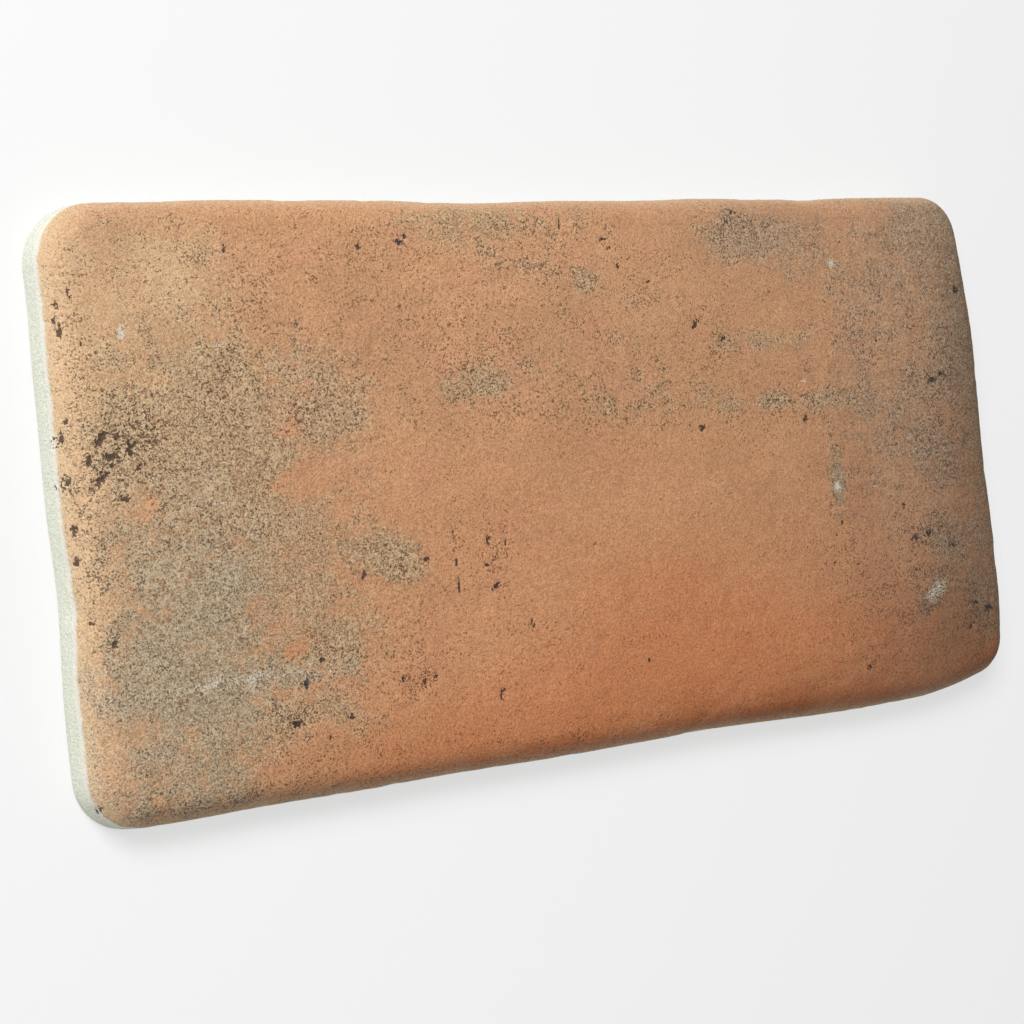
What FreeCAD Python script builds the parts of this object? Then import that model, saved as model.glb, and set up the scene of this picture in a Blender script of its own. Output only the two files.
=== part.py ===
"""A pressed porcelain stoneware tile with the worn outline of an old brick.

It is one fired piece, so it is one solid: a 200 x 100 x 10 mm blank with gently waving sides, four
corners each rounded by its own radius, a pillowed arris round the face, an eased foot, and a back
pressed with a grid of shallow keys that the adhesive grips.

Frame, in millimetres: the back lies on z = 0 and the face looks up +Z. +X runs along the tile and +Y
across it. The origin is the middle of the back.
"""

import FreeCAD
import Part
import Sketcher
import math
import os

# Millimetres, apart from the two counts and the taper's degrees. The keys stand in columns along the
# tile and rows across it, with a rib between each two and a margin round them all.
SIZES = {
    "length": 200,
    "width": 100,
    "thickness": 10,
    "pillow_radius": 4.5,
    "foot_radius": 0.6,
    "key_columns": 9,
    "key_rows": 4,
    "key_margin": 9,
    "key_rib": 3,
    "key_depth": 0.8,
    "key_corner_radius": 2,
    "key_taper": 30,
}

# The corners of the blank, anticlockwise from above. For each: how far it stands in from the full
# length, how far from the full width, and the radius that rounds it.
CORNERS = {
    "left_near": (0.4, 0.5, 8.5),
    "near_right": (2.3, 5.0, 7.5),
    "right_far": (2.4, 0.8, 8),
    "far_left": (0.0, 0.7, 10),
}

# How far the points that draw each side stand in from the full length or width, anticlockwise and
# evenly spaced between the side's two corners.
WAVES = {
    "near": (0.1, 0.7, 0.2, 0.9, 0.5, 0.5, 1.0, 1.0, 0.3, 0.4, 0.4),
    "right": (0.5, 0.0, 0.6, 0.9, 0.2, 0.0, 1.8),
    "far": (0.2, 0.8, 0.8, 0.2, 1.0, 0.5, 1.7, 0.4, 0.5, 0.3, 0.8),
    "left": (1.0, 0.4, 0.6, 0.2, 1.2, 0.1, 0.0),
}

# For each side: the corner it starts from, whether its points run forwards (1) or backwards (-1)
# along their axis, and whether it lies on the positive side of the origin (1) or not (-1).
SIDES = {
    "near": ("left_near", 1, -1),
    "right": ("near_right", 1, 1),
    "far": ("right_far", -1, 1),
    "left": ("far_left", -1, -1),
}

# How long and how wide one key opens.
KEY_LENGTH = "((Sizes.length - 2 * Sizes.key_margin + Sizes.key_rib) / Sizes.key_columns - Sizes.key_rib)"
KEY_WIDTH = "((Sizes.width - 2 * Sizes.key_margin + Sizes.key_rib) / Sizes.key_rows - Sizes.key_rib)"

DEGREE = 3  # of the curves that draw the sides
ORIGIN = (-1, 1)  # the sketcher's own name for the point where its axes cross
START, END, CENTRE = 1, 2, 3  # and for the two ends of a curve and the middle of a circle
TOUCH = 1e-4  # mm within which an edge counts as lying on a plane


def fill_sheet(document):
    """Writes every size into a spreadsheet, one alias to a row, for the features to be bound to."""
    rows = dict(SIZES)
    for corner, (along, across, radius) in CORNERS.items():
        rows[corner + "_along"] = along
        rows[corner + "_across"] = across
        rows[corner + "_radius"] = radius
    for side, insets in WAVES.items():
        for number, inset in enumerate(insets, 1):
            rows[f"{side}_wave_{number}"] = inset
    sheet = document.addObject("Spreadsheet::Sheet", "Sizes")
    for row, (alias, value) in enumerate(rows.items(), 1):
        sheet.set(f"A{row}", alias)
        sheet.set(f"B{row}", str(value))
        sheet.setAlias(f"B{row}", alias)
    document.recompute()


def corner_formulas(corner):
    """Where a corner of the blank stands before it is rounded, as formulas for x and y."""
    along = f"(Sizes.length / 2 - Sizes.{corner}_along)"
    across = f"(Sizes.width / 2 - Sizes.{corner}_across)"
    return ("-" if "left" in corner else "") + along, ("-" if "near" in corner else "") + across


def side_formulas(side):
    """The points that draw a side, from its first corner up to but not including its last one."""
    corner, forwards, outwards = SIDES[side]
    lengthwise = side in ("near", "far")
    span, depth = ("length", "width") if lengthwise else ("width", "length")
    steps = len(WAVES[side]) + 1
    points = [corner_formulas(corner)]
    for number in range(1, steps):
        along = f"{forwards} * Sizes.{span} * ({number} / {steps} - 0.5)"
        across = f"{outwards} * (Sizes.{depth} / 2 - Sizes.{side}_wave_{number})"
        points.append((along, across) if lengthwise else (across, along))
    return points


def flat_sketch(body, name):
    """A new sketch on the body's own XY plane, where the back of the tile lies."""
    sketch = body.newObject("Sketcher::SketchObject", name)
    plane = next(f for f in body.Origin.OriginFeatures if f.Role == "XY_Plane")
    sketch.AttachmentSupport = [(plane, "")]
    sketch.MapMode = "FlatFace"
    return sketch


def bind(sketch, name, kind, places, formula):
    """Adds a constraint on the places, gives it a name and keeps its value at the formula."""
    numbers = [number for place in places for number in place]
    value = float(sketch.evalExpression(formula))
    sketch.renameConstraint(sketch.addConstraint(Sketcher.Constraint(kind, *numbers, value)), name)
    sketch.setExpression("Constraints." + name, formula)


def bind_point(sketch, name, point, formulas):
    """Holds a point of a sketch at the x and y that two formulas give."""
    bind(sketch, name + "_x", "DistanceX", (ORIGIN, point), formulas[0])
    bind(sketch, name + "_y", "DistanceY", (ORIGIN, point), formulas[1])


def draw_side(sketch, side, end_corner):
    """Draws one waving side as a curve that its points pull into shape, and returns the curve."""
    points = side_formulas(side)
    everyone = points + [corner_formulas(end_corner)]
    poles = [FreeCAD.Vector(*(float(sketch.evalExpression(f)) for f in both), 0) for both in everyone]
    spans = len(poles) - DEGREE
    repeats = [DEGREE + 1] + [1] * (spans - 1) + [DEGREE + 1]
    shape = Part.BSplineCurve()
    shape.buildFromPolesMultsKnots(poles, repeats, list(range(spans + 1)), False, DEGREE)
    curve = sketch.addGeometry(shape, False)
    sketch.exposeInternalGeometry(curve)
    for number, formulas in enumerate(points):
        bind_point(sketch, f"{side}_{number}", (curve + 1 + number, CENTRE), formulas)
    return curve


def draw_outline(body):
    """The closed outline of the blank: four waving sides that meet in four sharp corners."""
    sketch = flat_sketch(body, "outline")
    ends = list(SIDES.values())[1:] + list(SIDES.values())[:1]
    curves = [draw_side(sketch, side, end[0]) for side, end in zip(SIDES, ends)]
    for curve, following in zip(curves, curves[1:] + curves[:1]):
        sketch.addConstraint(Sketcher.Constraint("Coincident", curve, END, following, START))
    return sketch


def draw_key(body):
    """The outline of the key at the grid's near left end, as it opens at the back."""
    sketch = flat_sketch(body, "key_outline")
    left = "Sizes.key_margin - Sizes.length / 2"
    near = "Sizes.key_margin - Sizes.width / 2"
    right = left + " + " + KEY_LENGTH
    far = near + " + " + KEY_WIDTH
    x0, x1, y0, y1, r = (
        float(sketch.evalExpression(f)) for f in (left, right, near, far, "Sizes.key_corner_radius")
    )
    ends = [
        ((x0 + r, y0), (x1 - r, y0)),
        ((x1, y0 + r), (x1, y1 - r)),
        ((x1 - r, y1), (x0 + r, y1)),
        ((x0, y1 - r), (x0, y0 + r)),
    ]
    middles = [(x1 - r, y0 + r), (x1 - r, y1 - r), (x0 + r, y1 - r), (x0 + r, y0 + r)]
    lines = []
    arcs = []
    for quarter, (line, middle) in enumerate(zip(ends, middles)):
        start, end = (FreeCAD.Vector(*point, 0) for point in line)
        lines.append(sketch.addGeometry(Part.LineSegment(start, end), False))
        circle = Part.Circle(FreeCAD.Vector(*middle, 0), FreeCAD.Vector(0, 0, 1), r)
        first = math.radians(90 * quarter - 90)
        arcs.append(sketch.addGeometry(Part.ArcOfCircle(circle, first, first + math.pi / 2), False))
    for line, arc, following in zip(lines, arcs, lines[1:] + lines[:1]):
        sketch.addConstraint(Sketcher.Constraint("Tangent", line, END, arc, START))
        sketch.addConstraint(Sketcher.Constraint("Tangent", arc, END, following, START))
    for line, way in zip(lines, ("Horizontal", "Vertical", "Horizontal", "Vertical")):
        sketch.addConstraint(Sketcher.Constraint(way, line))
    for arc in arcs[1:]:
        sketch.addConstraint(Sketcher.Constraint("Equal", arcs[0], arc))
    bind(sketch, "corner_radius", "Radius", ((arcs[0],),), "Sizes.key_corner_radius")
    bind(sketch, "left", "DistanceX", (ORIGIN, (lines[3], START)), left)
    bind(sketch, "right", "DistanceX", (ORIGIN, (lines[1], START)), right)
    bind(sketch, "near", "DistanceY", (ORIGIN, (lines[0], START)), near)
    bind(sketch, "far", "DistanceY", (ORIGIN, (lines[2], START)), far)
    return sketch


def fillet(body, name, base, wanted, radius):
    """Rounds the edges of the last feature that answer to wanted(edge)."""
    feature = body.newObject("PartDesign::Fillet", name)
    edges = [f"Edge{n}" for n, edge in enumerate(base.Shape.Edges, 1) if wanted(edge)]
    feature.Base = (base, edges)
    feature.setExpression("Radius", radius)
    body.Document.recompute()
    return feature


def lies_at(edge, height):
    """Whether a whole edge lies on the level plane at a height."""
    box = edge.BoundBox
    return abs(box.ZMin - height) < TOUCH and abs(box.ZMax - height) < TOUCH


def stands_at(edge, x, y):
    """Whether an edge is the upright one at a place on the plan."""
    middle = edge.BoundBox.Center
    return edge.BoundBox.ZLength > 1 and math.hypot(middle.x - x, middle.y - y) < 0.01


def build_tile(document):
    """Builds the tile as one body and returns it."""
    body = document.addObject("PartDesign::Body", "tile")
    body.Label = "tile"
    outline = draw_outline(body)
    blank = body.newObject("PartDesign::Pad", "blank")
    blank.Profile = outline
    blank.setExpression("Length", "Sizes.thickness")
    document.recompute()

    rounded = blank
    for corner in CORNERS:
        x, y = (float(blank.evalExpression(formula)) for formula in corner_formulas(corner))
        upright = lambda edge: stands_at(edge, x, y)
        rounded = fillet(body, corner + "_corner", rounded, upright, f"Sizes.{corner}_radius")
    thickness = blank.Length.Value
    face_edge = lambda edge: lies_at(edge, thickness)
    pillowed = fillet(body, "pillow", rounded, face_edge, "Sizes.pillow_radius")
    eased = fillet(body, "foot", pillowed, lambda edge: lies_at(edge, 0), "Sizes.foot_radius")

    key_outline = draw_key(body)
    key = body.newObject("PartDesign::Pocket", "key")
    key.Profile = key_outline
    key.Reversed = True
    key.setExpression("Length", "Sizes.key_depth")
    key.setExpression("TaperAngle", "-Sizes.key_taper")
    document.recompute()

    keys = body.newObject("PartDesign::LinearPattern", "keys")
    keys.Originals = [key]
    keys.Direction = (key_outline, ["H_Axis"])
    keys.Direction2 = (key_outline, ["V_Axis"])
    keys.setExpression("Occurrences", "Sizes.key_columns")
    keys.setExpression("Occurrences2", "Sizes.key_rows")
    keys.setExpression("Length", f"(Sizes.key_columns - 1) * ({KEY_LENGTH} + Sizes.key_rib)")
    keys.setExpression("Length2", f"(Sizes.key_rows - 1) * ({KEY_WIDTH} + Sizes.key_rib)")
    body.Tip = keys
    document.recompute()
    return body


def check(document):
    """Stops the build unless every object is up to date and the tile is one sound solid."""
    for item in document.Objects:
        if "Invalid" in item.State or "Error" in item.State:
            raise RuntimeError(f"{item.Name} failed: {item.State}")
        if hasattr(item, "Shape") and item.isDerivedFrom("PartDesign::Feature"):
            if item.Shape.isNull() or not item.Shape.isValid():
                raise RuntimeError(f"{item.Name} has no sound shape")


def main():
    document = FreeCAD.newDocument("tile")
    fill_sheet(document)
    tile = build_tile(document)
    check(document)
    if len(tile.Shape.Solids) != 1:
        raise RuntimeError("the tile is not one solid")
    os.makedirs("parts", exist_ok=True)
    tile.Shape.exportStep("parts/tile.step")


main()
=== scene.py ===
"""A pressed porcelain tile that looks like an old terracotta brick, lying face up.

The blank's outline, foot and keyed back are the CAD part's own. The upper side is laid on them as one
even net: rings that climb the side and the pillowed arris, and a sheet of squares inside the last
ring. Each point is told how much smoke, ash, ember, painted shade and so on it has, from the lists of
marks below.
Relief nodes then sink swells, dents, sand and chips into the net, and the material paints the printed
clay, the thin glaze on the arris and the raw body.

The lists are in millimetres from the tile's middle. Everything else is in metres.
"""

import math

import bmesh
import bpy
import numpy as np
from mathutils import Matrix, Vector


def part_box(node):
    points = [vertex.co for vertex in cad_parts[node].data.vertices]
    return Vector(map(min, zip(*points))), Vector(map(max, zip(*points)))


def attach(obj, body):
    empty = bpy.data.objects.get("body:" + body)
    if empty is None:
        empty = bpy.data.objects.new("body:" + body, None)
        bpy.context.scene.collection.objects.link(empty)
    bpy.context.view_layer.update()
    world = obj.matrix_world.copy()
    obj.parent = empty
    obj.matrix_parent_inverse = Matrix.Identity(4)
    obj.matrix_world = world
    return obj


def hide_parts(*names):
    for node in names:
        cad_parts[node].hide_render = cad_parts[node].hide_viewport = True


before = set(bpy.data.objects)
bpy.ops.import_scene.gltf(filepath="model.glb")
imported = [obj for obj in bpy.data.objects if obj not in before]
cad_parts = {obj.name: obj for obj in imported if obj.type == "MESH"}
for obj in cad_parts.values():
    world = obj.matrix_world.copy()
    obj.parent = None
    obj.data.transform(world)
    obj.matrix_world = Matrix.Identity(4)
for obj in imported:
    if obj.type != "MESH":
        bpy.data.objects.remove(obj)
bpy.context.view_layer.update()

MM = 0.001
LOW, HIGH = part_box("tile")
LENGTH = HIGH[0] - LOW[0]
WIDTH = HIGH[1] - LOW[1]
THICKNESS = HIGH[2] - LOW[2]

STEP = 0.55 * MM  # the net's mesh width
PILLOW = 4.5 * MM  # radius of the arris round the face
SPRING = THICKNESS - PILLOW  # the height at which that round starts
CUT = 1.5 * MM  # up to here the surface is the part's own
EASE_IN = 4 * MM  # the relief grows to its full depth over this height above the cut
GLAZE_EDGE = 4.6 * MM  # how high up the side the raw body shows
SAG_WIDTH = 16 * MM  # how far in from the edge the face sags
KEY_EDGE = math.radians(35)  # edges of the back that turn more than this stay crisp
EVENING_PASSES = 60  # how often the sheet of squares is evened out

# ---------------------------------------------------------------------------------------------------
# Marks. Each is x, y, half its length, half its width, its turn in degrees and its strength.
# ---------------------------------------------------------------------------------------------------

# Brown-grey kiln smoke, which shows the grain of the clay.
SMOKE = [
    (-82, 4, 17, 24, 0, 0.55),
    (-82, -38, 14, 14, 0, 0.55),
    (-72, 17, 11, 9, 0, 0.75),
    (-89, 12, 7, 8, 10, 0.6),
    (-68, 3, 9, 9, 0, 0.6),
    (-51, 13, 7, 5, 0, 0.7),
    (-54, 21, 6, 4, 0, 0.45),
    (-62, -12, 10, 9, 0, 0.5),
    (-42, -12, 6, 4, -25, 0.9),
    (-48, -9, 5, 3, 0, 0.6),
    (-55, -24, 6, 4, 0, 0.8),
    (-57, -35, 7, 3, -15, 0.5),
    (-20, 17, 4.5, 3, 0, 0.75),
    (-27, 16, 4, 2.5, 0, 0.5),
    (-24, 44, 13, 4, 0, 0.55),
    (-70, 38, 5, 6, 0, 0.3),
    (-8, 46, 20, 3, 0, 0.35),
    (3, 34, 3.5, 2.2, 20, 0.7),
    (39, 42, 10, 5, 0, 0.8),
    (53, 39, 8, 6, 0, 0.5),
    (70, 25, 12, 22, 0, 0.45),
    (86, 42, 10, 8, 0, 0.8),
    (95, 38, 6, 10, 0, 0.8),
    (92, 22, 8, 14, 0, 0.7),
    (87, 13, 6, 4, 0, 0.8),
    (80, 1, 4, 4, 0, 0.8),
    (86, -3, 3, 5, 0, 0.8),
    (84, -20, 5, 5, 0, 0.8),
    (79, -29, 5, 3, 30, 0.7),
    (92, -33, 6, 7, 0, 0.65),
    # This strip along the right edge is partly painted shade, where the rim turns from the lamp, and
    # partly real smoke.
    (96, -5, 4, 30, 0, 0.6),
    (75, -5, 12, 16, 0, 0.35),
    (57, -4, 2, 8, 0, 0.7),
    (33, 22, 3, 2, 0, 0.5),
    (42, 21.5, 5, 1.8, 0, 0.6),
    (50, 21.5, 3, 2, 0, 0.5),
    (32, 10, 3, 2, 0, 0.5),
    (43, 10.5, 4, 1.8, 0, 0.8),
    (54, 10, 5, 1.6, 0, 0.5),
    (0, 18, 25, 8, 0, 0.25),
    (-10, 37, 12, 6, 0, 0.3),
    (14, 29, 12, 4, 0, 0.2),
    (20, 11, 24, 4, 0, 0.28),
    (70, 10, 16, 4, 0, 0.35),
    (88, -16, 6, 12, 0, 0.45),
    (-78, -12, 22, 28, 0, 0.35),
    (-60, 10, 16, 14, 0, 0.3),
    (-70, -30, 20, 14, 0, 0.35),
]

# Greenish ash, smooth and pale.
ASH = [
    (-75, -14, 6, 5, 0, 0.7),
    (-89, -23, 7, 5, 0, 0.7),
    (-98, -42, 7, 12, 0, 0.55),
    (-78, -6, 16, 18, 0, 0.35),
    (-86, -26, 14, 16, 0, 0.32),
    (-80, -25, 14, 7, 0, 0.36),
    (-84, -30, 6, 4, 15, 0.65),
    (-72, -29, 22, 2.2, 0, 0.7),
    (-75, -33, 6, 5, 0, 0.6),
    (-80, -44, 8, 5, 0, 0.55),
    (-82, -6, 8, 5, 0, 0.3),
    (-88, 41, 6, 6, 0, 0.25),
    (88, 46, 9, 5, 0, 0.5),
    (95, 30, 5, 16, 0, 0.3),
    (84, -20, 5, 4, 0, 0.5),
    (83, -1, 4, 5, 0, 0.4),
    (57, -6, 1.5, 5, 0, 0.7),
]

# Hotter, redder clay.
EMBER = [
    (25, -46, 62, 24, 0, 0.75),
    (20, -34, 22, 13, 0, 0.55),
    (30, -49, 36, 4, 0, 0.6),
    (-25, -46, 34, 10, 0, 0.6),
    (0, -6, 60, 16, 0, 0.18),
    (12, -20, 14, 4, 0, 0.3),
    (-66, -24, 4, 3, 0, 0.12),
    (-87, 0, 3, 3, 20, 0.25),
    (-91, -5, 4, 4, 0, 0.4),
    (60, -34, 12, 4, 0, 0.4),
    (92, -45, 8, 4, 20, 0.6),
]

# Where the clay is peppered with fine dark flecks.
PEPPER = [
    (-87, 12, 7, 9, 20, 1.0),
    (-94, 6, 3, 5, -30, 0.8),
    (-70, 18, 8, 9, 0, 0.7),
    (-54, 14, 10, 6, 0, 0.6),
    (-70, -5, 8, 5, 0, 0.6),
    (-82, -2, 6, 6, 0, 0.5),
    (-95, -16, 4, 9, 0, 0.5),
    (-43, -12, 8, 5, -20, 0.7),
    (-30.5, -12, 2, 7, 0, 0.6),
    (-23, -12, 3.5, 7, 0, 0.7),
    (-56, -28, 9, 7, 0, 0.6),
    (-40, -31, 5, 5, 0, 0.7),
    (-64, -36, 5, 5, 0, 0.6),
    (-80, -23, 8, 6, 0, 0.3),
    (-40, 41, 18, 6, 0, 0.5),
    (-66, 33, 8, 10, 0, 0.42),
    (-34, 25, 22, 8, 0, 0.33),
    (-24, 34, 26, 10, 0, 0.25),
    (-22, 18, 9, 6, 0, 0.6),
    (-6, 42, 9, 8, 0, 0.58),
    (10, 36, 12, 6, 0, 0.4),
    (20, 20, 30, 10, 0, 0.35),
    (22, 36, 30, 8, 0, 0.23),
    (-8, 12, 26, 4, 0, 0.5),
    (30, 7, 26, 3, 0, 0.4),
    (70, -20, 20, 20, 0, 0.35),
    (-20, -30, 30, 10, 0, 0.25),
    (-80, 40, 12, 8, 0, 0.5),
    (-96, 8, 4.5, 42, 0, 0.7),
    (38, 44, 9, 6, 0, 0.55),
    (32, 21, 5, 4, 0, 0.7),
    (45, 10, 16, 3, 0, 0.6),
    (66, 24, 14, 12, 0, 0.4),
    (84, 18, 8, 14, 0, 0.5),
    (84, 0, 8, 10, 0, 0.5),
    (78, -17, 6, 4, 0, 0.7),
    (76, -28, 6, 5, 0, 0.6),
    (88, -36, 7, 8, 0, 0.7),
    (57, -14, 5, 10, 0, 0.4),
    (65, -35, 12, 10, 0, 0.35),
    (2, -45, 30, 3, 0, 0.3),
    (-76, -48.5, 24, 2.5, 0, 0.9),
    (-30, -49, 30, 1.6, 0, 0.6),
    (-60, -40, 30, 8, 0, 0.3),
]

# Charred chips, nearly black.
CHAR = [
    (-98.3, 32.5, 0.35, 0.8, 0, 1),
    (-98.6, 30.4, 0.5, 0.4, 20, 1),
    (-98.2, 28.2, 0.35, 1.1, -10, 1),
    (-96.2, 34.6, 0.25, 1.3, 0, 0.9),
    (-94.6, 26.2, 0.5, 0.5, 0, 1),
    (-98.5, 14.5, 0.3, 0.6, 0, 1),
    (-99.2, 12, 0.25, 1.3, -10, 1),
    (-99.0, 5, 0.5, 1.2, 0, 1),
    (-94.2, 4.8, 2.4, 0.55, 40, 1),
    (-90.2, 2, 0.8, 0.5, 0, 1),
    (-93.4, 11.2, 1.6, 0.6, 50, 1),
    (-90.4, 11.8, 1.3, 0.6, -30, 1),
    (-91.4, 8.6, 1.5, 0.5, 15, 1),
    (-88.6, 9.6, 0.6, 1.2, 10, 1),
    (-95.6, 8.2, 0.5, 1.0, -20, 1),
    (-87.4, 6.4, 0.9, 0.4, 30, 1),
    (-98.7, -2.3, 0.4, 0.8, 0, 1),
    (-98.8, -7.3, 0.25, 0.7, 0, 1),
    (-97.8, -16.8, 0.4, 0.6, 0, 1),
    (-94.4, -20.3, 0.6, 0.8, 0, 1),
    (-98.6, -46.2, 0.5, 0.8, 0, 1),
    (-43.5, 40.8, 0.5, 0.5, 0, 1),
    (-35.4, 41.4, 0.6, 0.5, 0, 1),
    (-34.2, 42.2, 0.4, 0.5, 0, 1),
    (-68.4, 40.6, 0.3, 1.0, 0, 1),
    (-10.6, 40.8, 0.22, 1.2, 0, 0.85),
    (-1.5, 43.3, 0.2, 2.0, 5, 0.75),
    (-7.1, 13.1, 0.5, 0.4, 0, 0.9),
    (-49, -14.1, 0.6, 0.8, 0, 1),
    (-36.5, -12.4, 0.5, 0.5, 0, 1),
    (-30.8, -9, 0.18, 1.5, 0, 0.75),
    (-30.5, -13.2, 0.22, 1.1, 0, 0.85),
    (-30.7, -17.4, 0.18, 1.6, 0, 0.7),
    (-23.7, -9.9, 0.35, 1.0, 0, 1),
    (-20.2, -11.2, 0.2, 2.4, -4, 0.75),
    (-24.6, -14.2, 0.6, 0.4, 0, 1),
    (-22.8, -18, 1.2, 0.4, 35, 1),
    (-16.4, -25.5, 0.35, 1.1, 8, 1),
    (-24, -36.4, 0.5, 1.1, -15, 1),
    (-61.7, -30.3, 0.5, 1.0, 0, 1),
    (-64.2, -36.5, 1.2, 0.5, -15, 1),
    (-54, -36.6, 0.6, 0.4, 0, 1),
    (-39.2, -32.8, 0.4, 0.9, 0, 1),
    (-37.2, -32, 0.6, 0.4, 0, 1),
    (-58.2, -26.9, 0.5, 0.4, 0, 1),
    (-58.1, -39.6, 0.4, 0.5, 0, 1),
    (-43.4, -31.5, 0.4, 0.4, 0, 1),
    (26.6, 25.4, 1.2, 0.4, 50, 1),
    (25.7, 6.4, 0.7, 0.6, 0, 1),
    (50.6, 6.4, 0.6, 0.7, 0, 1),
    (32.8, 22.5, 0.6, 0.4, 0, 0.9),
    (7.5, 41.2, 0.5, 0.6, 0, 1),
    (8.6, 39.7, 0.5, 0.4, 0, 1),
    (10.2, 36.4, 0.4, 0.6, 0, 1),
    (16.8, 33.4, 0.6, 0.3, -20, 1),
    (38.4, 46.4, 0.8, 0.5, 0, 1),
    (70.9, 20.9, 0.5, 0.5, 0, 1),
    (84.5, 12.3, 1.0, 0.5, 20, 1),
    (86.8, 13.5, 0.8, 0.4, -30, 1),
    (93.6, 30.2, 0.6, 0.9, 0, 1),
    (73.5, -11.5, 0.5, 0.5, 0, 1),
    (75.4, -17.9, 1.0, 0.5, 0, 1),
    (79, -17.4, 0.7, 0.6, 0, 1),
    (85.2, -20.2, 0.8, 0.6, 0, 0.9),
    (54.4, -21.1, 0.4, 0.4, 0, 1),
    (59.9, -21.8, 0.4, 0.4, 0, 1),
    (75.1, -27.6, 0.3, 1.1, 15, 1),
    (77.4, -32.8, 0.5, 0.5, 0, 1),
    (93.4, -33.5, 0.8, 0.7, 0, 1),
    (88.4, -36.5, 1.4, 0.35, 30, 1),
    (90.2, -32.1, 0.6, 0.4, 0, 1),
    (55.5, -15.8, 0.4, 0.4, 0, 1),
    (57.2, -13.6, 0.3, 0.6, 0, 1),
    (60.4, -41.6, 0.5, 0.4, 0, 1),
    (8, -34.5, 0.5, 0.4, 0, 1),
]

# Chalky spots and scratches.
CHALK = [
    (-88, 27.7, 1.1, 1.4, 0, 0.8),
    (-71.5, 25, 1.8, 0.35, 10, 0.8),
    (61.6, 36, 1.3, 1.1, 0, 0.7),
    (79.6, -29, 3.4, 1.5, 35, 0.5),
    (51.1, 13.7, 1.7, 0.3, -5, 0.9),
    (66.5, -7.4, 1.4, 0.3, -5, 0.9),
    (57.1, -6.5, 0.9, 1.5, 0, 0.6),
    (-73, -0.1, 2.5, 0.25, -3, 0.8),
    (-73.4, -28.4, 12, 0.8, 0, 0.32),
]

# Clay bleached paler and yellower by the heat.
PALE = [
    (-98, 10, 8, 55, 0, 0.8),
    (-86, 20, 14, 22, 0, 0.35),
    (-76, 34, 14, 10, 0, 0.45),
    (-80, 39, 7, 5, 0, 0.5),
    (-78, -6, 16, 6, 0, 0.3),
    (-82, -40, 16, 10, 0, 0.35),
    (20, -6, 40, 6, 0, 0.2),
]

# Clay darkened: mostly painted shade along the right and near edges and in the lower right corner, and a
# few real dark smudges.
UMBER_AND_SHADE = [
    (96, -44, 24, 17, -20, 0.95),
    (98, -8, 13, 38, 0, 0.7),
    (100, 28, 9, 26, 0, 0.6),
    (-20, -51, 80, 7, 0, 0.45),
    (46, -51, 38, 8, 0, 0.7),
    (72, -14, 24, 34, 0, 0.22),
    (0, -51.5, 105, 2.6, 0, 0.8),
    (-87, 43, 5, 5, 0, 0.25),
    (-96, 36, 3, 12, 0, 0.15),
    (62, -4, 5, 12, 0, 0.2),
    (-82, 26, 5, 5, 0, 0.2),
]

# Dusty, rosy grey clay.
DUST = [
    (80, 0, 18, 60, 0, 0.55),
    (92, -34, 14, 26, 0, 0.4),
    (90, 44, 12, 10, 0, 0.5),
    (44, 43, 14, 8, 0, 0.5),
]

# Clean spots that the smoke has missed.
BARE = [
    (-87.2, 0.2, 2.8, 2.2, 35, 0.75),
    (-57.8, 2.7, 7, 3.4, 12, 0.75),
    (-64.6, 37.2, 4, 10, 0, 0.75),
    (-62.4, -24.1, 2.8, 1.8, 30, 0.65),
    (-96.2, -37.4, 3, 5, 0, 0.6),
    (-67.6, -43, 9, 4, 10, 0.35),
    (-85, 20, 6, 3, 0, 0.5),
    (-64, -8, 3, 2, 0, 0.45),
    (-61, 12, 3, 4, 20, 0.45),
    (72, 14, 4, 6, 0, 0.6),
    (72, -12, 6, 3, 0, 0.5),
    (88, -12, 5, 4, 0, 0.7),
]

# Where the flecks run together, black and coarse.
SCORCH = [
    (-91, 9, 5, 4, 40, 0.65),
    (-94, 5, 3, 1.5, 40, 0.7),
    (-86, 12, 6, 5, 0, 0.7),
    (-70, 18, 7, 4, 0, 0.35),
    (-40, -13, 4, 3, -20, 0.5),
    (-22, -12, 3, 5, 0, 0.6),
    (-30.6, -13, 0.6, 7, 0, 0.7),
    (-35, 41.5, 2.5, 1.5, 0, 0.8),
    (-6, 41, 6, 4, 0, 0.5),
    (38, 45, 5, 2.5, 0, 0.65),
    (44, 42, 5, 3, 0, 0.4),
    (30, 22, 3, 2, 0, 0.6),
    (44, 10.5, 5, 1.5, 0, 0.5),
    (85, 13, 5, 3, 10, 0.6),
    (84, 0, 3, 6, 0, 0.5),
    (80, -18, 6, 2.5, 20, 0.55),
    (76, -27, 2, 4, 15, 0.5),
    (90, -35, 4, 4, 30, 0.6),
    (-56, -28, 4, 3, 0, 0.5),
    (-39, -32, 3, 2, 0, 0.5),
    (-66, 39, 2, 5, 0, 0.4),
    (-82, -2, 3, 3, 0, 0.3),
    (-19, 18, 4, 3, 0, 0.4),
]


def spread(places, marks, sharp=4):
    """How much of a kind of mark each place has, from 0 to 1. At its edge a mark has half its strength,
    and the sharper it is, the faster it fades there."""
    left = np.ones(len(places))
    for reach, strength in reaches(places, marks):
        left *= 1 - strength / (1 + reach**sharp)
    return 1 - left


def inside(places, marks):
    """How far inside a mark each place is: 1 at its middle, 0 at its edge and -1 beyond it."""
    best = np.full(len(places), -1.0)
    for reach, strength in reaches(places, marks):
        best = np.maximum(best, strength * (1 - reach))
    return best


def sag(places):
    """How far the worn face has sagged towards its edge, from 0 to 1."""
    past_x = np.clip((np.abs(places[:, 0]) - LENGTH / 2 + SAG_WIDTH) / SAG_WIDTH, 0, 1)
    past_y = np.clip((np.abs(places[:, 1]) - WIDTH / 2 + SAG_WIDTH) / SAG_WIDTH, 0, 1)
    return np.minimum(past_x**2 + past_y**2, 1)


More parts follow.
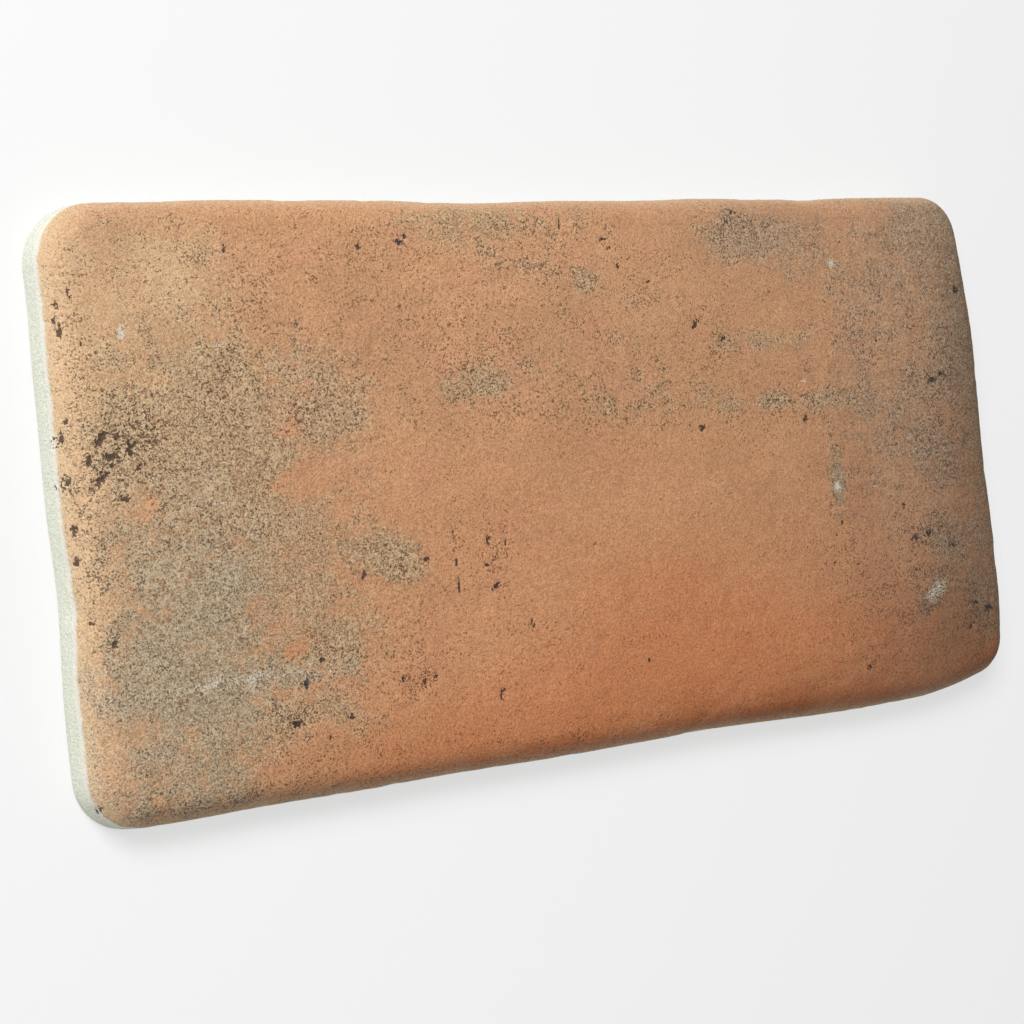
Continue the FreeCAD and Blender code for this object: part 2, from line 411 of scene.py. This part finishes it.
def reaches(places, marks):
    """For each mark, how far off each place is, in units of the mark's own size, and its strength."""
    x, y = places[:, 0] / MM, places[:, 1] / MM
    for mark_x, mark_y, long, wide, turn, strength in marks:
        cos, sin = math.cos(math.radians(turn)), math.sin(math.radians(turn))
        along = (x - mark_x) * cos + (y - mark_y) * sin
        across = (y - mark_y) * cos - (x - mark_x) * sin
        yield np.hypot(along / long, across / wide), strength


# ---------------------------------------------------------------------------------------------------
# The tile's shape
# ---------------------------------------------------------------------------------------------------


def blank_below(node, height):
    """The part's own surface up to a height, as a bmesh that is open there, and its open edge's points
    in order, anticlockwise from above."""
    blank = bmesh.new()
    blank.from_mesh(node.data)
    bmesh.ops.remove_doubles(blank, verts=blank.verts, dist=1e-6)
    everything = blank.verts[:] + blank.edges[:] + blank.faces[:]
    bmesh.ops.bisect_plane(
        blank, geom=everything, plane_co=(0, 0, height), plane_no=(0, 0, 1), clear_outer=True
    )
    open_edges = [edge for edge in blank.edges if edge.is_boundary]
    corner = open_edges[0].verts[0]
    loop = []
    edge = open_edges[0]
    while not loop or corner is not loop[0]:
        loop.append(corner)
        corner = edge.other_vert(corner)
        edge = next(e for e in corner.link_edges if e.is_boundary and e is not edge)
    points = np.array([v.co[:2] for v in loop])
    x, y = points.T
    if np.sum(x * np.roll(y, -1) - y * np.roll(x, -1)) < 0:
        points = points[::-1]
    return blank, open_edges, points


def four_sides(outline):
    """The outline as its near, right, far and left sides, each cut where its corner's round is at
    45 degrees, so that each side starts on the point where the one before it ends."""
    diagonals = ((-1, -1), (1, -1), (1, 1), (-1, 1))
    cuts = [int(np.argmax(outline @ np.array(d))) for d in diagonals]
    outline = np.roll(outline, -cuts[0], axis=0)
    cuts = [(cut - cuts[0]) % len(outline) for cut in cuts] + [len(outline)]
    closed = np.vstack([outline, outline[:1]])
    return [closed[a : b + 1] for a, b in zip(cuts, cuts[1:])]


def even(points, count):
    """Points spaced evenly along a line of points, its last one left out."""
    steps = np.linalg.norm(np.diff(points, axis=0), axis=1)
    travelled = np.concatenate([[0], np.cumsum(steps)])
    wanted = np.linspace(0, travelled[-1], count, endpoint=False)
    return np.stack([np.interp(wanted, travelled, axis) for axis in points.T], 1)


def outward(ring, passes=10):
    """The level direction out of a closed ring at each of its points, smoothed along the ring."""
    along = np.roll(ring, -1, axis=0) - np.roll(ring, 1, axis=0)
    out = np.stack([along[:, 1], -along[:, 0]], 1)
    for _ in range(passes):
        out /= np.linalg.norm(out, axis=1, keepdims=True)
        out = (np.roll(out, 1, axis=0) + 2 * out + np.roll(out, -1, axis=0)) / 4
    return out / np.linalg.norm(out, axis=1, keepdims=True)


def rim_profile():
    """The section of the rim, from the cut up to the face: how far in and how high each ring is, and
    how far it lies from the face along the surface."""
    quarter = PILLOW * math.pi / 2
    heights = np.arange(CUT + STEP, SPRING, STEP)
    turns = np.linspace(0, math.pi / 2, round(quarter / STEP) + 1)
    side = [(0.0, height, quarter + SPRING - height) for height in heights]
    return side + [
        (PILLOW * (1 - math.cos(turn)), SPRING + PILLOW * math.sin(turn), quarter - PILLOW * turn)
        for turn in turns
    ]


# The map's two parts, each as its left, its bottom, its width and its height
FACE_PATCH = (0.005, 0.42, 0.99, 0.575)
BACK_PATCH = (0.01, 0.01, 0.78, 0.38)
RIM_ROOM = 10 * MM  # what the unrolled rim needs on each side of the face
FOOT_REACH = 2 * MM  # how far under the tile the foot still belongs to the rim


def lay_flat(shape, flat, ring, out):
    """Lays the surface out flat: the face in one piece with its rim unrolled round it, and the back
    below them. The upper side's points have their flat places already."""
    shape.normal_update()
    layer = shape.loops.layers.uv.new("OFBake")
    sheet = np.array((LENGTH, WIDTH)) / 2 + RIM_ROOM
    for vert in shape.verts:
        if vert not in flat:
            place = np.array(vert.co[:2])
            near = int(np.argmin(np.sum((ring - place) ** 2, axis=1)))
            inset = np.dot(ring[near] - place, out[near])
            if inset < FOOT_REACH:
                fall = PILLOW * (math.pi / 2 - 1) + SPRING - vert.co.z + inset
                flat[vert] = place + out[near] * (inset + fall)
    for face in shape.faces:
        faces_down = face.normal.z < -0.999
        upper = not faces_down and all(vert in flat for vert in face.verts)
        left, bottom, wide, high = FACE_PATCH if upper else BACK_PATCH
        for loop in face.loops:
            if upper:
                u, v = (flat[loop.vert] / sheet + 1) / 2
            else:
                u, v = (0.5 - loop.vert.co.x / LENGTH, 0.5 + loop.vert.co.y / WIDTH)
            loop[layer].uv = (left + wide * u, bottom + high * v)


def net_between(near, right, far, left):
    """A sheet of squares between four sides, which evens itself out towards its corners."""
    u = np.linspace(0, 1, len(near))[:, None, None]
    v = np.linspace(0, 1, len(right))[None, :, None]
    across = near[:, None] * (1 - v) + far[::-1][:, None] * v
    along = left[::-1][None, :] * (1 - u) + right[None, :] * u
    corners = (
        near[0] * (1 - u) * (1 - v) + near[-1] * u * (1 - v) + far[-1] * (1 - u) * v + far[0] * u * v
    )
    net = across + along - corners
    for _ in range(EVENING_PASSES):
        around = net[:-2, 1:-1] + net[2:, 1:-1] + net[1:-1, :-2] + net[1:-1, 2:]
        net[1:-1, 1:-1] = around / 4
    return net


def raise_rim(shape, ring, out, flat):
    """Climbs from the cut to the face in rings of points with squares between them. Returns the rings."""
    rings = []
    for inset, height, fall in rim_profile():
        rings.append([shape.verts.new((x, y, height)) for x, y in ring - out * inset])
        flat.update(zip(rings[-1], ring + out * (fall - PILLOW)))
    for lower, upper in zip(rings, rings[1:]):
        for i in range(len(lower)):
            after = (i + 1) % len(lower)
            shape.faces.new((lower[i], lower[after], upper[after], upper[i]))
    return rings


def lay_face(shape, top, places, counts, flat):
    """Fills the top ring with a sheet of squares, whose border is that ring's own points."""
    long_steps, short_steps = counts[:2]
    starts = np.cumsum((0, *counts))
    sides = [np.arange(a, b + 1) % starts[-1] for a, b in zip(starts, starts[1:])]
    near, right, far, left = sides
    net = net_between(*(places[side] for side in sides))
    knots = {}
    for i in range(long_steps + 1):
        knots[i, 0] = top[near[i]]
        knots[i, short_steps] = top[far[long_steps - i]]
    for j in range(short_steps + 1):
        knots[long_steps, j] = top[right[j]]
        knots[0, j] = top[left[short_steps - j]]
    for i in range(1, long_steps):
        for j in range(1, short_steps):
            knots[i, j] = shape.verts.new((*net[i, j], THICKNESS))
            flat[knots[i, j]] = net[i, j]
    for i in range(long_steps):
        for j in range(short_steps):
            shape.faces.new((knots[i, j], knots[i + 1, j], knots[i + 1, j + 1], knots[i, j + 1]))


def build_tile():
    """The whole tile as one closed mesh object, before its relief."""
    shape, open_edges, outline = blank_below(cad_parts["tile"], CUT)
    for edge in shape.edges:
        edge.smooth = not (edge.is_manifold and edge.calc_face_angle() > KEY_EDGE)
    counts = (round(LENGTH / STEP), round(WIDTH / STEP)) * 2
    ring = np.vstack([even(side, count) for side, count in zip(four_sides(outline), counts)])
    out = outward(ring)

    flat = {}  # where each upper point lies once the surface is laid out flat
    rings = raise_rim(shape, ring, out, flat)
    lay_face(shape, rings[-1], ring - out * PILLOW, counts, flat)
    lowest = [shape.edges.get(pair) for pair in zip(rings[0], rings[0][1:] + rings[0][:1])]
    bmesh.ops.bridge_loops(shape, edges=open_edges + lowest)
    for face in shape.faces:
        face.smooth = True
    lay_flat(shape, flat, ring, out)
    mesh = bpy.data.meshes.new("porcelain_tile")
    shape.to_mesh(mesh)
    shape.free()
    tile = bpy.data.objects.new("porcelain_tile", mesh)
    bpy.context.scene.collection.objects.link(tile)
    return tile


def write_marks(mesh):
    """Stores on each point how much of each kind of mark it has."""
    places = np.empty(len(mesh.vertices) * 3)
    mesh.vertices.foreach_get("co", places)
    places = places.reshape(-1, 3)
    amounts = {
        "smoke": spread(places, SMOKE),
        "ash": spread(places, ASH),
        "ember": spread(places, EMBER),
        "pepper": spread(places, PEPPER, 3),
        "char": inside(places, CHAR),
        "chalk": inside(places, CHALK),
        "pale": spread(places, PALE, 3),
        "umber_and_shade": spread(places, UMBER_AND_SHADE, 3),
        "scorch": spread(places, SCORCH, 3),
        "dust": spread(places, DUST, 3),
        "bare": spread(places, BARE),
        "sag": sag(places),
    }
    for name, amount in amounts.items():
        mesh.attributes.new(name, "FLOAT", "POINT").data.foreach_set("value", amount)


# ---------------------------------------------------------------------------------------------------
# Materials
# ---------------------------------------------------------------------------------------------------


class Wire:
    """A value in a material's nodes. Python's operators on it add the Math nodes for them."""

    def __init__(self, recipe, socket):
        self.recipe = recipe
        self.socket = socket

    def maths(self, operation, *values):
        inputs = dict(enumerate(values))
        return self.recipe.node("ShaderNodeMath", {"operation": operation}, inputs)

    def __add__(self, other):
        return self.maths("ADD", self, other)

    def __radd__(self, other):
        return self.maths("ADD", other, self)

    def __sub__(self, other):
        return self.maths("SUBTRACT", self, other)

    def __rsub__(self, other):
        return self.maths("SUBTRACT", other, self)

    def __mul__(self, other):
        return self.maths("MULTIPLY", self, other)

    def __rmul__(self, other):
        return self.maths("MULTIPLY", other, self)

    def __truediv__(self, other):
        return self.maths("DIVIDE", self, other)

    def __rtruediv__(self, other):
        return self.maths("DIVIDE", other, self)


class Recipe:
    """A tree of nodes, of a material or of a relief, and the ways to add to it."""

    def __init__(self, tree):
        self.tree = tree
        self.tree.nodes.clear()

    def node(self, kind, settings=None, inputs=None, output=0):
        """Adds a node, settles its settings, fills its inputs with values or wires, and returns the
        wire that comes out of it."""
        node = self.tree.nodes.new(kind)
        for name, value in (settings or {}).items():
            setattr(node, name, value)
        for name, value in (inputs or {}).items():
            if isinstance(value, Wire):
                self.tree.links.new(value.socket, node.inputs[name])
            else:
                node.inputs[name].default_value = value
        return Wire(self, node.outputs[output] if node.outputs else None)

    def cloud(self, place, size, detail=2.0, rough=0.5, twist=0.0, shift=0.0):
        """Noise from 0 to 1 in lumps of a size. Each shift gives other lumps."""
        away = {0: place, 1: (shift, -shift, shift)}
        moved = self.node("ShaderNodeVectorMath", {"operation": "ADD"}, away)
        inputs = {"Vector": moved, "Scale": 1 / size, "Detail": detail, "Roughness": rough}
        return self.node("ShaderNodeTexNoise", {}, {**inputs, "Distortion": twist})

    def ramp(self, value, low, high, soft=True):
        """0 up to low, 1 from high, and a rise between them."""
        kind = {"interpolation_type": "SMOOTHSTEP" if soft else "LINEAR"}
        return self.node("ShaderNodeMapRange", kind, {0: value, 1: low, 2: high})

    def blend(self, one, other, share, way="MIX"):
        """The colour that lies share of the way from one to the other."""
        kind = {"data_type": "RGBA", "blend_type": way}
        return self.node("ShaderNodeMix", kind, {0: share, 6: one, 7: other}, output=2)


def new_material(name):
    material = bpy.data.materials.new(name)
    material.use_nodes = True
    return material, Recipe(material.node_tree)


def paint(red, green, blue):
    """A colour as it is seen, from 0 to 255, as the light it reflects."""
    seen = (value / 255 for value in (red, green, blue))
    return (*((s / 12.92 if s <= 0.04045 else ((s + 0.055) / 1.055) ** 2.4) for s in seen), 1)


# Colours, each named for what it is on the tile
CLAY_PALE = paint(204, 153, 113)
CLAY_DEEP = paint(190, 143, 105)
CLAY_ROSY = paint(199, 142, 110)
CLAY_RED = paint(198, 120, 73)
CLAY_BLEACHED = paint(211, 175, 136)
CLAY_DUSTY = paint(180, 144, 119)
SMOKE_BROWN = paint(164, 145, 114)
SMOKE_COOL = paint(143, 132, 111)
ASH_GREEN = paint(163, 149, 125)
FLECK_BROWN = paint(90, 63, 45)
SCORCHED = paint(62, 53, 47)
CHARRED = paint(46, 43, 44)
CHARRED_SAND = paint(84, 60, 46)
CHALK_WHITE = paint(222, 218, 206)
GLAZE_THIN = paint(230, 202, 164)
GLAZE_WHITE = paint(240, 236, 222)
BODY_DARK = paint(214, 217, 199)
BODY_LIGHT = paint(240, 241, 226)

# Tints, which the colour under them is multiplied by
CLEAR = (1, 1, 1, 1)
# The two umber tints darken the painted shade along the right and near edges as well as the real smudges.
UMBER_AND_SHADE_COOL = (0.47, 0.48, 0.48, 1)
UMBER_AND_SHADE_WARM = (0.48, 0.37, 0.3, 1)
GRAIN_DARK = (0.47, 0.38, 0.32, 1)
GRAIN_LIGHT = (1.53, 1.62, 1.68, 1)

GRAIN_HEIGHT = 0.12 * MM


class Clay:
    """The patterns of the fired clay, from the broadest to the finest, and the coats of colour that are
    made with them. Each coat is given the colour that lies under it."""

    def __init__(self, mix):
        self.mix = mix
        place = mix.node("ShaderNodeTexCoord", output="Object")
        self.height = mix.node("ShaderNodeSeparateXYZ", inputs={0: place}, output="Z")
        stretch = {0: place, 1: (0.2, 1, 1)}
        along = mix.node("ShaderNodeVectorMath", {"operation": "MULTIPLY"}, stretch)
        cells = {"Vector": place, "Scale": 1 / (0.5 * MM)}

        self.drift = mix.cloud(place, 26 * MM, 4, 0.6, 0, 0.31)
        self.blush = mix.cloud(place, 11 * MM, 4, 0.6, 0.3, 0.9)
        self.patches = mix.cloud(place, 6 * MM, 5, 0.7, 0.5, 0.12)
        self.mottle = mix.ramp(mix.cloud(place, 4.5 * MM, 6, 0.72, 0.6, 0.66), 0.38, 0.62)
        self.streaks = mix.cloud(along, 2.4 * MM, 4, 0.65, 0.2, 0.3)
        self.blotches = mix.cloud(place, 2 * MM, 3, 0.65, 0.4, 0.53)
        self.specks = mix.cloud(place, 0.75 * MM, 2, 0.7, 0.6, 0.44)
        self.worms = mix.ramp(mix.cloud(place, 0.55 * MM, 1.5, 0.7, 0.5, 0.21), 0.34, 0.66)
        self.chunks = mix.node("ShaderNodeTexVoronoi", {}, cells, output="Color")
        self.grain = mix.ramp(mix.cloud(place, 0.31 * MM, 1, 0.7, 0.0, 0.77), 0.3, 0.7)
        self.ragged = (self.patches - 0.5) * 1.3 + (self.blotches - 0.5) * 0.7 + (self.streaks - 0.5)

        bare = self.amount("bare") + (self.mottle - 0.5) * 0.6 + self.ragged * 0.25
        self.clean = mix.ramp(bare, 0.3, 0.95)
        self.smoke = self.broken("smoke")
        self.ash = self.broken("ash")
        self.ember = mix.ramp(self.amount("ember") + self.ragged * 0.35, 0.0, 1.1, False)

        thick = self.amount("pepper") * 0.46 + (self.mottle - 0.5) * 0.22
        thick = thick + (self.blotches - 0.5) * 0.5 + (self.streaks - 0.5) * 0.6
        self.flecks = mix.ramp(thick - self.worms * 0.5 - self.grain * 0.5, 0.02, 0.26)
        chips = self.amount("char") + (self.chunks - 0.5) * 1.4 + (self.specks - 0.5) * 1.2
        self.char = mix.ramp(chips, 0.0, 0.15)
        level = self.height + (self.patches - 0.5) * (0.8 * MM)
        self.raw = 1 - mix.ramp(level, GLAZE_EDGE - 0.4 * MM, GLAZE_EDGE)

    def amount(self, name):
        """How much of a kind of mark there is."""
        return self.mix.node("ShaderNodeAttribute", {"attribute_name": name}, output="Fac")

    def broken(self, name):
        """A stain that is half a soft haze and half patches, and leaves the bare spots free."""
        reach = self.amount(name) - self.clean
        haze = self.mix.ramp(reach + self.ragged * 0.5, 0.1, 0.95)
        torn = self.mix.ramp(reach + (self.mottle - 0.5) * 0.6 + self.ragged * 0.3, 0.35, 0.65)
        return haze * 0.5 + torn * 0.5

    def plain(self):
        """Clay from pale to red, bleached by the heat in places."""
        mix = self.mix
        colour = mix.blend(CLAY_PALE, CLAY_DEEP, mix.ramp(self.drift, 0.3, 0.7))
        rosy = mix.ramp(self.blush, 0.5, 0.68) * (1 - self.clean)
        colour = mix.blend(colour, CLAY_ROSY, rosy * 0.5)
        colour = mix.blend(colour, CLAY_RED, self.ember * 0.9)
        bleached = mix.ramp(self.amount("pale") + self.ragged * 0.4, 0.1, 0.9)
        return mix.blend(colour, CLAY_BLEACHED, bleached * 0.85)

    def stained_and_shaded(self, colour):
        """Smoke, cooler where it is dusty, then ash, dust, and the umber darkening, mostly painted shade
        along the right and near edges and partly real smudges, warmer where the clay is red.
        """
        mix = self.mix
        dust = self.amount("dust")
        soot = mix.blend(SMOKE_BROWN, SMOKE_COOL, mix.ramp(dust, 0.1, 0.6))
        colour = mix.blend(colour, soot, self.smoke * 0.68)
        colour = mix.blend(colour, ASH_GREEN, self.ash * 0.7)
        colour = mix.blend(colour, CLAY_DUSTY, dust * (0.4 + self.mottle * 0.35))
        umber_and_shade = mix.blend(UMBER_AND_SHADE_COOL, UMBER_AND_SHADE_WARM, self.ember)
        # Painted shade: this darkens the right and near edges and the lower right corner, besides a few
        # real smudges.
        umber_and_shade_share = mix.ramp(self.amount("umber_and_shade") + self.ragged * 0.25, 0.0, 1.0)
        return mix.blend(colour, mix.blend(CLEAR, umber_and_shade, umber_and_shade_share), 1.0, "MULTIPLY")

    def grained(self, colour):
        """Grain, stronger where the clay is grey and coarser where it is dusty."""
        mix = self.mix
        grey = mix.node("ShaderNodeMath", {"operation": "MAXIMUM"}, {0: self.smoke, 1: self.ash})
        strength = 0.31 + grey * 0.47 + self.amount("pepper") * 0.08
        fine = (self.worms - 0.5) * 0.46 + (self.grain - 0.5) * 0.92
        coarse = (self.blotches - 0.5) * 0.6 + (self.patches - 0.5) * 0.5
        tone = (fine + coarse * (1 + self.amount("dust"))) * strength + 0.5
        return mix.blend(colour, mix.blend(GRAIN_DARK, GRAIN_LIGHT, tone), 1.0, "MULTIPLY")

    def flecked(self, colour):
        """Fine dark flecks, and coarse black ones where the clay is scorched."""
        mix = self.mix
        colour = mix.blend(colour, FLECK_BROWN, self.flecks * 0.66)
        scorch = self.amount("scorch") * 0.45 + (self.specks - 0.5) * 1.3 - self.worms * 0.3
        return mix.blend(colour, SCORCHED, mix.ramp(scorch, 0.22, 0.5) * 0.85)

    def thinned(self, colour):
        """Thin glaze on the arris, white at its edge."""
        mix = self.mix
        wander = self.height + (self.patches - 0.5) * (1.6 * MM) + (self.specks - 0.5) * (1.2 * MM)
        thin = 1 - mix.ramp(wander, GLAZE_EDGE + 0.8 * MM, GLAZE_EDGE + 4.9 * MM)
        colour = mix.blend(colour, GLAZE_THIN, thin * (0.35 + self.grain * 0.55))
        white = 1 - mix.ramp(wander, GLAZE_EDGE + 0.7 * MM, GLAZE_EDGE + 1.8 * MM)
        return mix.blend(colour, GLAZE_WHITE, white)

    def chipped(self, colour):
        """Charred chips, browner where the clay is bleached, and chalky spots."""
        mix = self.mix
        on_sand = mix.ramp(self.amount("pale"), 0.3, 0.6) * 0.7
        soot = mix.blend(CHARRED, CHARRED_SAND, on_sand)
        colour = mix.blend(colour, soot, self.char * 0.9)
        chalk = self.amount("chalk") + (self.blotches - 0.5) * 1.6 + (self.grain - 0.5) * 0.5
        return mix.blend(colour, CHALK_WHITE, mix.ramp(chalk, 0.0, 0.7) * 0.7)

    def unglazed(self, colour):
        """The raw body, below the edge of the glaze."""
        body = self.mix.blend(BODY_DARK, BODY_LIGHT, self.grain)
        return self.mix.blend(colour, body, self.raw)


def fired_clay():
    """The tile's one finish: printed clay on the face, thin glaze on the arris and raw body below."""
    material, mix = new_material("fired_clay")
    clay = Clay(mix)
    colour = clay.plain()
    for coat in (clay.stained_and_shaded, clay.grained, clay.flecked, clay.thinned, clay.chipped, clay.unglazed):
        colour = coat(colour)
    relief = clay.grain * 0.4 + clay.worms * 0.6 - clay.flecks * 0.5 - clay.char * 0.8
    uneven = {"Height": relief * GRAIN_HEIGHT, "Distance": 1.0, "Strength": 0.7}
    finish = {
        "Base Color": colour,
        "Roughness": 0.62 + clay.grain * 0.2 + clay.raw * 0.15,
        "Normal": mix.node("ShaderNodeBump", {}, uneven),
        "Specular IOR Level": 0.3,
    }
    shader = mix.node("ShaderNodeBsdfPrincipled", {}, finish)
    mix.node("ShaderNodeOutputMaterial", {}, {"Surface": shader})
    return material


# ---------------------------------------------------------------------------------------------------
# Relief
# ---------------------------------------------------------------------------------------------------

RELIEF = {
    "Swell depth": 0.2 * MM,
    "Swell size": 30 * MM,
    "Dent depth": 0.3 * MM,
    "Dent size": 7 * MM,
    "Sand depth": 0.1 * MM,
    "Sand size": 1.6 * MM,
    "Chip depth": 0.2 * MM,
    "Sag depth": 0.4 * MM,
    "Ripple depth": 0.16 * MM,
    "Ripple size": 3.2 * MM,
}


def sink_relief(tile, material):
    """Sinks the relief into the tile's upper side. It only ever goes inwards."""
    tree = bpy.data.node_groups.new("relief", "GeometryNodeTree")
    tree.interface.new_socket("Tile", in_out="INPUT", socket_type="NodeSocketGeometry")
    sockets = {
        name: tree.interface.new_socket(name, in_out="INPUT", socket_type="NodeSocketFloat")
        for name in RELIEF
    }
    finish = tree.interface.new_socket("Finish", in_out="INPUT", socket_type="NodeSocketMaterial")
    tree.interface.new_socket("Tile", in_out="OUTPUT", socket_type="NodeSocketGeometry")
    work = Recipe(tree)
    given = tree.nodes.new("NodeGroupInput")
    size = {name: Wire(work, given.outputs[name]) for name in (*RELIEF, "Finish", "Tile")}
    place = work.node("GeometryNodeInputPosition")
    height = work.node("ShaderNodeSeparateXYZ", inputs={0: place}, output="Z")
    char = work.node("GeometryNodeInputNamedAttribute", {"data_type": "FLOAT"}, {"Name": "char"})
    sagged = work.node("GeometryNodeInputNamedAttribute", {"data_type": "FLOAT"}, {"Name": "sag"})
    depth = (
        size["Swell depth"] * work.ramp(work.cloud(place, size["Swell size"], 2, 0.5, 0, 0.4), 0.3, 0.7)
        + size["Dent depth"] * work.ramp(work.cloud(place, size["Dent size"], 3, 0.5, 0, 0.2), 0.5, 0.8)
        + size["Ripple depth"] * work.cloud(place, size["Ripple size"], 3, 0.6, 0, 0.5)
        + size["Sand depth"] * work.cloud(place, size["Sand size"], 2, 0.6, 0, 0.7)
        + size["Chip depth"] * work.ramp(char, -0.3, 0.3)
        + size["Sag depth"] * sagged * work.ramp(height, SPRING, THICKNESS - 0.3 * PILLOW)
    )
    depth = depth * work.ramp(height, CUT, CUT + EASE_IN)
    normal = work.node("GeometryNodeInputNormal")
    inwards = work.node("ShaderNodeVectorMath", {"operation": "SCALE"}, {0: normal, "Scale": 0 - depth})
    sunk = work.node("GeometryNodeSetPosition", {}, {"Geometry": size["Tile"], "Offset": inwards})
    whole = work.node("GeometryNodeRealizeInstances", {}, {0: sunk})
    done = work.node("GeometryNodeSetMaterial", {}, {"Geometry": whole, "Material": size["Finish"]})
    work.node("NodeGroupOutput", {}, {"Tile": done})

    modifier = tile.modifiers.new("relief", "NODES")
    modifier.node_group = tree
    for name, value in RELIEF.items():
        modifier[sockets[name].identifier] = value
    modifier[finish.identifier] = material
    plain = bpy.data.meshes.new_from_object(tile.evaluated_get(bpy.context.evaluated_depsgraph_get()))
    tile.modifiers.remove(modifier)
    tile.data = plain


# ---------------------------------------------------------------------------------------------------
# Studio
# ---------------------------------------------------------------------------------------------------

EVEN_LIGHT = 0.29
FLOOR_SIZE = 6
FLOOR_GAP = 0.1 * MM  # the floor lies this far under the tile, so that the two never share a plane
FLOOR_WHITENESS = 0.6  # how far the floor is lifted towards white where it is looked at


def lamp(name, place, aim, size, power):
    """A soft square lamp at a place, turned to face another."""
    data = bpy.data.lights.new(name, "AREA")
    data.size = size
    data.energy = power
    made = bpy.data.objects.new(name, data)
    made.location = place
    made.rotation_euler = (Vector(aim) - Vector(place)).to_track_quat("-Z", "Y").to_euler()
    bpy.context.scene.collection.objects.link(made)


def studio():
    """A white floor, a soft lamp at the tile's far left, and an even light from all round."""
    lamp("key_lamp", place=(-0.42, 0.36, 0.6), aim=(0, 0, 0), size=0.35, power=5.9)
    world = bpy.data.worlds.new("studio")
    world.use_nodes = True
    background = world.node_tree.nodes["Background"]
    background.inputs["Color"].default_value = (1, 1, 1, 1)
    background.inputs["Strength"].default_value = EVEN_LIGHT
    bpy.context.scene.world = world

    bpy.ops.mesh.primitive_plane_add(size=FLOOR_SIZE)
    floor = bpy.context.object
    floor.name = "floor"
    floor.location.z = -FLOOR_GAP
    material, mix = new_material("floor_paper")
    path = mix.node("ShaderNodeLightPath", output="Is Camera Ray")
    paper = mix.node("ShaderNodeBsdfDiffuse", {}, {"Color": (0.8, 0.8, 0.8, 1)})
    glow = mix.node("ShaderNodeEmission", {}, {"Color": (1, 1, 1, 1), "Strength": 1.0})
    shown = mix.node("ShaderNodeMixShader", {}, {0: path * FLOOR_WHITENESS, 1: paper, 2: glow})
    mix.node("ShaderNodeOutputMaterial", {}, {"Surface": shown})
    floor.data.materials.append(material)


def camera():
    """The camera, over the tile's left end and looking down along it."""
    data = bpy.data.cameras.new("camera")
    data.lens = 83.3
    data.clip_start = 0.01
    made = bpy.data.objects.new("camera", data)
    made.location = (-0.248, -0.0126, 0.3472)
    made.rotation_mode = "ZXY"
    made.rotation_euler = [math.radians(angle) for angle in (0.96, -34.25, -6.01)]
    bpy.context.scene.collection.objects.link(made)
    bpy.context.scene.camera = made


def main():
    tile = build_tile()
    write_marks(tile.data)
    sink_relief(tile, fired_clay())
    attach(tile, "root")
    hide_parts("tile")
    studio()
    camera()
    bpy.context.scene.view_settings.view_transform = "Standard"


main()
